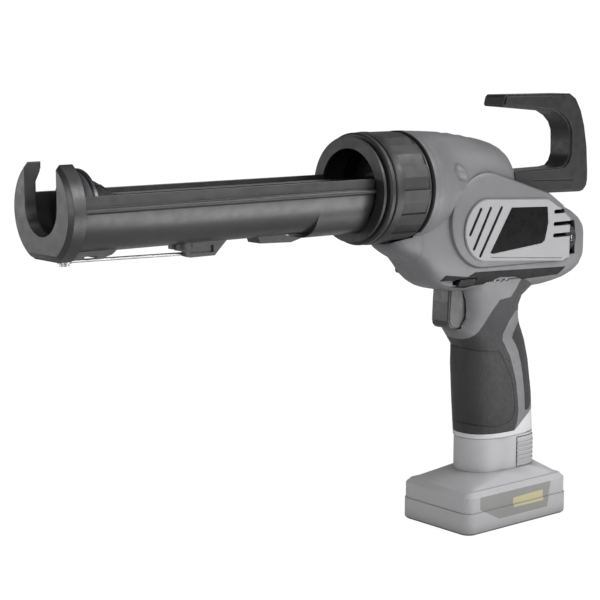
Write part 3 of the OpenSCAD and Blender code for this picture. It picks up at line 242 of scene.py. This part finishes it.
# each look: a name, a colour, a roughness, then the rest in the order of its maker's arguments
PALETTE = {
    "body_grey": moulded("body_grey_shell", (0.135, 0.135, 0.141),
                         0.42, 0.8, 0.11, 0.09, 0.7, 0.5),
    "nose_grey": moulded("nose_grey_shell", (0.120, 0.120, 0.126),
                         0.44, 0.8, 0.11, 0.09, 0.6, 0.5),
    "barrel": moulded("barrel_black", (0.022, 0.022, 0.023), 0.34, 0.6, 0.04, 0.12, 0.6, 0.75),
    "nose": moulded("nose_cap_black", (0.020, 0.020, 0.021), 0.36, 0.6, 0.05, 0.12, 0.9, 0.7),
    "collar": moulded("collar_black", (0.018, 0.018, 0.019), 0.44, 0.5, 0.06, 0.12, 0.5, 0.45),
    "dark": moulded("dark_plastic", (0.011, 0.011, 0.012), 0.46, 0.5, 0.05, 0.12, 0.5, 0.35),
    "hook": moulded("hook_black", (0.012, 0.012, 0.013), 0.42, 0.55, 0.05, 0.12, 0.9, 0.45),
    "panel": moulded("panel_silver", (0.27, 0.27, 0.28), 0.40, 0.45, 0.03, 0.05, 0.5, 0.6),
    "plate": moulded("blank_plate", (0.004, 0.004, 0.0045), 0.30, 1.2, 0.006, 0.1, 0.4, 0.12),
    "band": moulded("band_black", (0.006, 0.006, 0.0065), 0.55, 0.5, 0.05, 0.12, 0.5, 0.22),
    # painted shade: a deep black put on faces and thin sheets where only shade falls
    "shade_paint": moulded("painted_shade_black", (0.004, 0.004, 0.0045), 0.6, 0.5, 0.03, 0.1, 0.4, 0.2),
    "print": moulded("dial_print", (0.72, 0.72, 0.72), 0.5, 0.6, 0.005, 0.04, 0.1, 0.3),
    "label": moulded("bare_label", (0.27, 0.27, 0.26), 0.35, 0.6, 0.01, 0.05, 0.2, 0.4),
    "bar": moulded("bare_label_bar", (0.50, 0.46, 0.28), 0.35, 0.6, 0.01, 0.05, 0.2, 0.4),
    "pack": moulded("pack_grey", (0.43, 0.43, 0.44), 0.42, 0.55, 0.05, 0.05, 0.7, 0.45),
    "ring": moulded("ring_grey", (0.55, 0.55, 0.56), 0.40, 0.55, 0.05, 0.05, 0.5, 0.45),
    "trigger": moulded("trigger_black", (0.030, 0.030, 0.031), 0.30, 0.5, 0.05, 0.12, 0.6, 0.7),
    "flank": moulded("trigger_flank", (0.060, 0.060, 0.062), 0.38, 0.5, 0.05, 0.12, 0.6, 0.6),
    "groove": soft_rubber("grip_groove", (0.008, 0.008, 0.009), 0.5),
    "rubber": soft_rubber("grip_rubber", (0.024, 0.024, 0.026), 0.55),
    "insert": soft_rubber("rear_insert_rubber", (0.012, 0.012, 0.013), 0.66, 1.7, 0.22),
    "rod": worked_metal("rod_dark_steel", (0.09, 0.09, 0.094), 0.32),
    "steel": worked_metal("bright_steel", (0.62, 0.62, 0.63), 0.28),
    "screw": worked_metal("screw_black_zinc", (0.10, 0.10, 0.105), 0.38, (0, 1, 0)),
    "brass": worked_metal("contact_brass", (0.72, 0.55, 0.27), 0.30, (0, 0, 1)),
    "latch": moulded("latch_grey", (0.40, 0.40, 0.41), 0.45, 0.55, 0.05, 0.05, 0.4, 0.4),
    "board": moulded("board_green", (0.03, 0.16, 0.08), 0.35, 0.4, 0.01, 0.1, 0.2, 0.5),
    "cell": moulded("cell_wrap_blue", (0.06, 0.20, 0.32), 0.25, 0.8, 0.01, 0.06, 0.2, 0.5),
    "lens": moulded("gauge_lens", (0.22, 0.23, 0.22), 0.18, 1.0, 0.004, 0.05, 0.15, 0.6),
}
FINISH = {
    "tray": "barrel", "nose_cap": "nose", "puncture_wire": "steel", "wire_pivot_screw": "steel",
    "barrel_flange": "collar", "lock_collar": "collar", "push_rod": "rod", "plunger_disc": "rod",
    "plunger_hub": "dark", "plunger_screw": "steel", "pull_hook": "hook", "hook_pins": "screw",
    "nose_housing": "nose_grey", "housing_left": "body_grey", "housing_right": "body_grey",
    "housing_screws": "screw", "panel_left": "panel", "panel_right": "panel",
    "name_plates": "plate", "side_bands": "band", "rod_guides": "dark", "gear_frame": "rod",
    "rack_pinion": "steel", "idler_gear": "steel", "motor": "rod", "motor_shaft": "steel",
    "control_board": "board", "speed_dial": "dark", "dial_spindle": "steel",
    "gauge_lights": "lens", "lock_slider": "dark", "trigger": "trigger", "trigger_core": "flank",
    "switch_module": "dark", "rubber_grip": "rubber", "grip_accent": "groove",
    "rear_insert": "insert", "handle_ring": "ring", "terminal_block": "dark",
    "battery_top": "pack", "battery_bottom": "pack", "battery_stem": "dark",
    "battery_cells": "cell", "battery_contacts": "brass", "latch_left": "latch",
    "latch_right": "latch", "battery_screws": "screw",
}


def paint(obj, key):
    """Gives an object one look."""
    obj.data.materials.clear()
    obj.data.materials.append(PALETTE[key])


# ------------------------------------------------- skins with smooth shading
RECORD = frame["record"]
BODY_OF = {node: body for body, nodes in RECORD["behaviour"]["bodies"].items() for node in nodes}
WELD = 2e-6
ON_PLANE = 1e-6


def tool_place(point):
    """The reverse of at: a mesh point, in millimetres of the part's own drawing frame."""
    return point / MM - TOOL


def skin(node, sharp, patches, reshape, cuts):
    """A welded copy of a moulded node, shaded smooth across its facets, that stands for it.

    Edges of more than sharp degrees stay sharp. patches holds pairs of a finish and a test on a
    face's middle and normal. reshape, or None, moves each point. cuts holds planes, a point and
    a normal each, along which faces are split first.
    """
    source = NODES[node]
    mesh = source.data.copy()
    made = bpy.data.objects.new(node + "_skin", mesh)
    bpy.context.scene.collection.objects.link(made)
    work = bmesh.new()
    work.from_mesh(mesh)
    bmesh.ops.remove_doubles(work, verts=work.verts, dist=WELD)
    for point, normal in cuts:
        bmesh.ops.bisect_plane(work, geom=work.verts[:] + work.edges[:] + work.faces[:],
                               plane_co=at(*point), plane_no=normal, dist=ON_PLANE)
    if reshape is not None:
        for vert in work.verts:
            vert.co = (reshape(tool_place(vert.co)) + TOOL) * MM
        work.normal_update()
    limit = math.radians(sharp)
    for face in work.faces:
        face.smooth = True
    for edge in work.edges:
        edge.smooth = len(edge.link_faces) == 2 and edge.calc_face_angle(0) < limit
    paint(made, FINISH[node])
    for finish, test in patches:
        mesh.materials.append(PALETTE[finish])
    for face in work.faces:
        face.material_index = 0
        for number, (finish, test) in enumerate(patches, 1):
            if test(tool_place(face.calc_center_median()), face.normal):
                face.material_index = number
                break
    work.to_mesh(mesh)
    work.free()
    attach(made, BODY_OF[node])
    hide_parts(node)


# the nodes that get a skin, with the angle in degrees from which an edge stays sharp
SMOOTH = {
    "tray": 30, "nose_cap": 30, "pull_hook": 30, "barrel_flange": 30, "lock_collar": 12,
    "housing_left": 30, "housing_right": 30, "nose_housing": 30, "panel_left": 30,
    "panel_right": 30, "side_bands": 30, "rubber_grip": 34, "grip_accent": 34,
    "rear_insert": 34, "handle_ring": 34, "battery_top": 34, "battery_bottom": 34,
    "latch_left": 34, "latch_right": 34,
}

# the bore of the nose piece, and the gap behind the lock collar and above the chin, whose faces
# are painted deep black as painted shade
BORE_R, BORE_END = 34.2, 51.5
GAP_X, CHIN_Z = 45.6, -31


def in_bore(place, normal):
    """The faces that get painted shade: the bore of the nose piece and the gap behind the lock
    collar.
    """
    far_in = math.hypot(place.y, place.z) < BORE_R and place.x < BORE_END
    return far_in or (place.x < GAP_X and place.z > CHIN_Z)


# the tray's outer radius, the length of its thicker rear end, and the angles from straight
# down, in degrees, between which that end thins out to the tray
TRAY_R = 27.0
SLEEVE_FRONT, SLEEVE_REAR = -47, -0.2
KEEL_FULL, KEEL_NONE = 28, 62
KEEL_PROUD = 0.02


def keel(place):
    """The tray's thicker rear end, drawn in to a keel below."""
    reach = math.hypot(place.y, place.z)
    in_sleeve = SLEEVE_FRONT < place.x < SLEEVE_REAR and reach > TRAY_R + 1 and place.z < 0
    if not in_sleeve:
        return place
    turn = math.degrees(math.atan2(abs(place.y), -place.z))
    share = max(0.0, min(1.0, (KEEL_NONE - turn) / (KEEL_NONE - KEEL_FULL)))
    share = share * share * (3 - 2 * share)
    wanted = TRAY_R + KEEL_PROUD + (reach - TRAY_R) * share
    return Vector((place.x, place.y * wanted / reach, place.z * wanted / reach))


# the pack's bare label and the plain bar on it, as corners in X and Z
LABEL = [(98.5, -227.3), (174.8, -227.3), (170.3, -246.3), (118.1, -246.3), (98.5, -236.4)]
BAR = [(133.5, -233.2), (166.0, -232.4), (166.0, -240.6), (133.5, -240.4)]


# a face of the left side points at least this far along -Y
LEFT_FACING = -0.8


def sides(outline):
    """Pairs of corners that follow each other round a closed outline."""
    return zip(outline, outline[1:] + outline[:1])


def outline_cuts(outline):
    """Planes along Y through the sides of an outline drawn in X and Z."""
    return [((xa, 0.0, za), Vector((zb - za, 0, xa - xb)).normalized())
            for (xa, za), (xb, zb) in sides(outline)]


def inside(outline):
    """A test for faces of the left side that lie within a convex outline in X and Z."""
    middle = Vector((sum(x for x, z in outline), sum(z for x, z in outline))) / len(outline)

    def test(place, normal):
        if normal.y > LEFT_FACING:
            return False
        for (xa, za), (xb, zb) in sides(outline):
            side = (xb - xa) * (place.z - za) - (zb - za) * (place.x - xa)
            mine = (xb - xa) * (middle.y - za) - (zb - za) * (middle.x - xa)
            if side * mine < 0:
                return False
        return True
    return test


COLLAR_STEP_R = 36


def in_steps(place, normal):
    """The short steps between the lock collar's facets, which are painted deep black as painted
    shade.
    """
    out = Vector((0, place.y, place.z)).normalized()
    sideways = abs(normal.dot(out)) < 0.6 and abs(normal.x) < 0.3
    return sideways and COLLAR_STEP_R < place.yz.length


LABEL_CUTS = outline_cuts(LABEL) + outline_cuts(BAR)
CUTS = {"battery_top": LABEL_CUTS, "battery_bottom": LABEL_CUTS,
        "nose_housing": [((GAP_X, 0, 0), (1, 0, 0))]}
LABEL_PATCHES = [("bar", inside(BAR)), ("label", inside(LABEL))]
# the label and its bar are the pack's own print; the lock collar's steps and the nose piece's
# bore and gap are painted deep black as painted shade
PATCHES = {"battery_top": LABEL_PATCHES, "battery_bottom": LABEL_PATCHES,
           "lock_collar": [("shade_paint", in_steps)], "nose_housing": [("shade_paint", in_bore)]}
RESHAPED = {"tray": keel}
for name, node in NODES.items():
    if name in SMOOTH:
        skin(name, SMOOTH[name], PATCHES.get(name, ()), RESHAPED.get(name), CUTS.get(name, ()))
    else:
        paint(node, FINISH[name])


# ------------------------------------------------------------ small trim pieces
def piece(name, parts, finish, body):
    """One object from prisms: each part is a list of loops, joined in turn and capped."""
    bm = bmesh.new()
    for loops in parts:
        rings = [[bm.verts.new(at(*point)) for point in loop] for loop in loops]
        for low, high in zip(rings, rings[1:]):
            for i in range(len(low)):
                j = (i + 1) % len(low)
                bm.faces.new((low[i], low[j], high[j], high[i]))
        bm.faces.new(list(reversed(rings[0])))
        bm.faces.new(rings[-1])
    bmesh.ops.recalc_face_normals(bm, faces=bm.faces[:])
    mesh = bpy.data.meshes.new(name)
    bm.to_mesh(mesh)
    bm.free()
    made = bpy.data.objects.new(name, mesh)
    bpy.context.scene.collection.objects.link(made)
    mesh.materials.append(PALETTE[finish])
    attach(made, body)


def capsule(a, b, r, y0, y1, steps=8):
    """A round ended bar in X and Z, from a to b, between two heights in Y."""
    turn = math.atan2(b[1] - a[1], b[0] - a[0])
    line = []
    for (x, z), start in ((b, -math.pi / 2), (a, math.pi / 2)):
        for i in range(steps + 1):
            angle = turn + start + math.pi * i / steps
            line.append((x + r * math.cos(angle), z + r * math.sin(angle)))
    return [[(x, y, z) for x, z in line] for y in (y0, y1)]


# painted shade: thin deep black sheets stand as the floors of the raked slots, just proud of the
# housing's side, where only shade falls
SLOTS = [((101, -17.5), (90.5, -35)), ((111, -17.3), (94.6, -45.5)), ((122.3, -17.6), (101, -51))]
SLOT_R = 1.1
CASE_Y = 27.0
FLOOR_UNDER, FLOOR_TOP = CASE_Y + 0.03, CASE_Y + 0.15
for side_name, sign in (("left", -1), ("right", 1)):
    piece("slot_painted_shade_" + side_name,
          [capsule(a, b, SLOT_R, sign * FLOOR_UNDER, sign * FLOOR_TOP) for a, b in SLOTS],
          "shade_paint", "housing")

# the speed wheel: its centre and radius, the numerals' turn from one to the next in degrees,
# how deep they start in the rim and how far they stand proud of it
DIAL_X, DIAL_Y, DIAL_Z, DIAL_R = 203.7, -13.2, -45.5, 11.5
NUMERAL_TURN = 50
NUMERAL_SIZE, STROKE_R = 0.95, 0.3
SUNK, PROUD = 0.3, 0.06
# strokes from and to, on a grid 2 wide and 4 high
STROKES = {
    1: [(1, 0, 1, 4), (0.2, 3.2, 1, 4)],
    2: [(0, 4, 2, 4), (2, 4, 2, 2), (2, 2, 0, 2), (0, 2, 0, 0), (0, 0, 2, 0)],
    3: [(0, 4, 2, 4), (2, 4, 2, 0), (0, 2, 2, 2), (0, 0, 2, 0)],
    4: [(0, 4, 0, 2), (0, 2, 2, 2), (2, 4, 2, 0)],
}


def on_rim(x, z, r, turn):
    """A flat point wrapped on the speed wheel's rim at one radius."""
    angle = turn + z / DIAL_R
    return x, DIAL_Y - r * math.cos(angle), DIAL_Z + r * math.sin(angle)


def numeral(value):
    """Strokes of one numeral, wrapped on the speed wheel's rim."""
    turn = math.radians(NUMERAL_TURN * (value - 1))
    parts = []
    for xa, za, xb, zb in STROKES[value]:
        ends = [(DIAL_X + (x - 1) * NUMERAL_SIZE, (z - 2) * NUMERAL_SIZE)
                for x, z in ((xa, za), (xb, zb))]
        flat = capsule(*ends, STROKE_R, 0, 1, 3)
        parts.append([[on_rim(x, z, r, turn) for x, y, z in loop]
                      for r, loop in zip((DIAL_R - SUNK, DIAL_R + PROUD), flat)])
    return parts


piece("dial_numerals", [part for value in STROKES for part in numeral(value)],
      "print", "dial")


# ------------------------------------------------------- camera, light, floor
# the camera fitted to the photograph
AZIMUTH, ELEVATION = -39.7485, 8.5168
CAMERA_PLACE = (-0.8745, -0.8315, 0.3442)
LENS, SENSOR = 97.34, 36
FLOOR_TURN = -39.75
WORLD_DIM = 0.08

# name, place, aim, size and power of each lamp
LAMPS = [
    ("key_left", (-1.5, -0.75, 0.6), (-0.1, 0, 0.2), (0.8, 1.0), 8),
    ("far_left", (-1.5, 1.2, 0.42), (-0.35, 0, 0.22), (1.3, 0.8), 8),
    ("front_soft", (0.15, -1.7, 0.7), (0.0, 0, 0.2), (1.2, 0.7), 11),
    ("front_right", (1.0, -1.2, 1.3), (-0.15, 0, 0.22), (1.0, 0.7), 18),
    ("ridge_strip", (0.9, -0.25, 1.3), (-0.15, 0, 0.25), (1.2, 0.22), 3),
    ("floor_glow", (0.35, -0.55, 0.004), (0.35, -0.55, 1), (1.0, 0.7), 7),
    ("top_soft", (-0.1, -0.1, 1.7), (-0.05, 0, 0.2), (1.4, 0.45), 3),
]


def placed(name, data, place, facing):
    """An object of the scene at a place, with its -Z axis along facing."""
    made = bpy.data.objects.new(name, data)
    bpy.context.scene.collection.objects.link(made)
    made.location = place
    made.rotation_mode = "QUATERNION"
    made.rotation_quaternion = facing.to_track_quat("-Z", "Y")
    return made


def camera():
    """The camera at the photograph's angle."""
    data = bpy.data.cameras.new("view_camera")
    data.lens = LENS
    data.sensor_width = SENSOR
    data.clip_start = 0.05
    data.clip_end = 20
    turn, rise = math.radians(AZIMUTH), math.radians(ELEVATION)
    back = Vector((math.sin(turn) * math.cos(rise), -math.cos(turn) * math.cos(rise),
                   math.sin(rise)))
    bpy.context.scene.camera = placed("view_camera", data, Vector(CAMERA_PLACE), -back)


def lamp(name, place, aim, size, power):
    """An area lamp that the camera doesn't see."""
    data = bpy.data.lights.new(name, "AREA")
    data.shape = "RECTANGLE"
    data.size, data.size_y = size
    data.energy = power
    made = placed(name, data, place, Vector(aim) - Vector(place))
    made.visible_camera = False


def surroundings():
    """White to the camera, and only a dim light to the part."""
    world = bpy.data.worlds.new("studio")
    bpy.context.scene.world = world
    world.use_nodes = True
    tree = world.node_tree
    tree.nodes.clear()
    out = tree.nodes.new("ShaderNodeOutputWorld")
    path = tree.nodes.new("ShaderNodeLightPath")
    mix = tree.nodes.new("ShaderNodeMixShader")
    tree.links.new(path.outputs["Is Camera Ray"], mix.inputs[0])
    for socket, strength in ((1, WORLD_DIM), (2, 1.0)):
        light = tree.nodes.new("ShaderNodeBackground")
        light.inputs["Color"].default_value = (1, 1, 1, 1)
        light.inputs["Strength"].default_value = strength
        tree.links.new(light.outputs[0], mix.inputs[socket])
    tree.links.new(mix.outputs[0], out.inputs["Surface"])


def sweep():
    """A pale floor that curves up to a wall behind the part, as seen from the camera."""
    reach, front, wall, climb, bend, steps = 4.0, -3.0, 1.6, 2.6, 0.9, 14
    under_part = 0.0006
    rows = [(front, 0.0), (wall - bend, 0.0)]
    for i in range(1, steps + 1):
        angle = math.pi / 2 * i / steps
        rows.append((wall - bend + bend * math.sin(angle), bend - bend * math.cos(angle)))
    rows.append((wall, climb))
    bm = bmesh.new()
    line = [[bm.verts.new((x, y, z - under_part)) for x in (-reach, reach)] for y, z in rows]
    for a, b in zip(line, line[1:]):
        bm.faces.new((a[0], a[1], b[1], b[0]))
    data = bpy.data.meshes.new("floor")
    bm.to_mesh(data)
    bm.free()
    for face in data.polygons:
        face.use_smooth = True
    floor = bpy.data.objects.new("floor", data)
    bpy.context.scene.collection.objects.link(floor)
    data.materials.append(pale_floor("pale_floor", (0.58, 0.58, 0.58)))
    floor.rotation_euler = (0, 0, math.radians(FLOOR_TURN))


camera()
surroundings()
for row in LAMPS:
    lamp(*row)
sweep()

bpy.context.scene.view_settings.view_transform = "Standard"
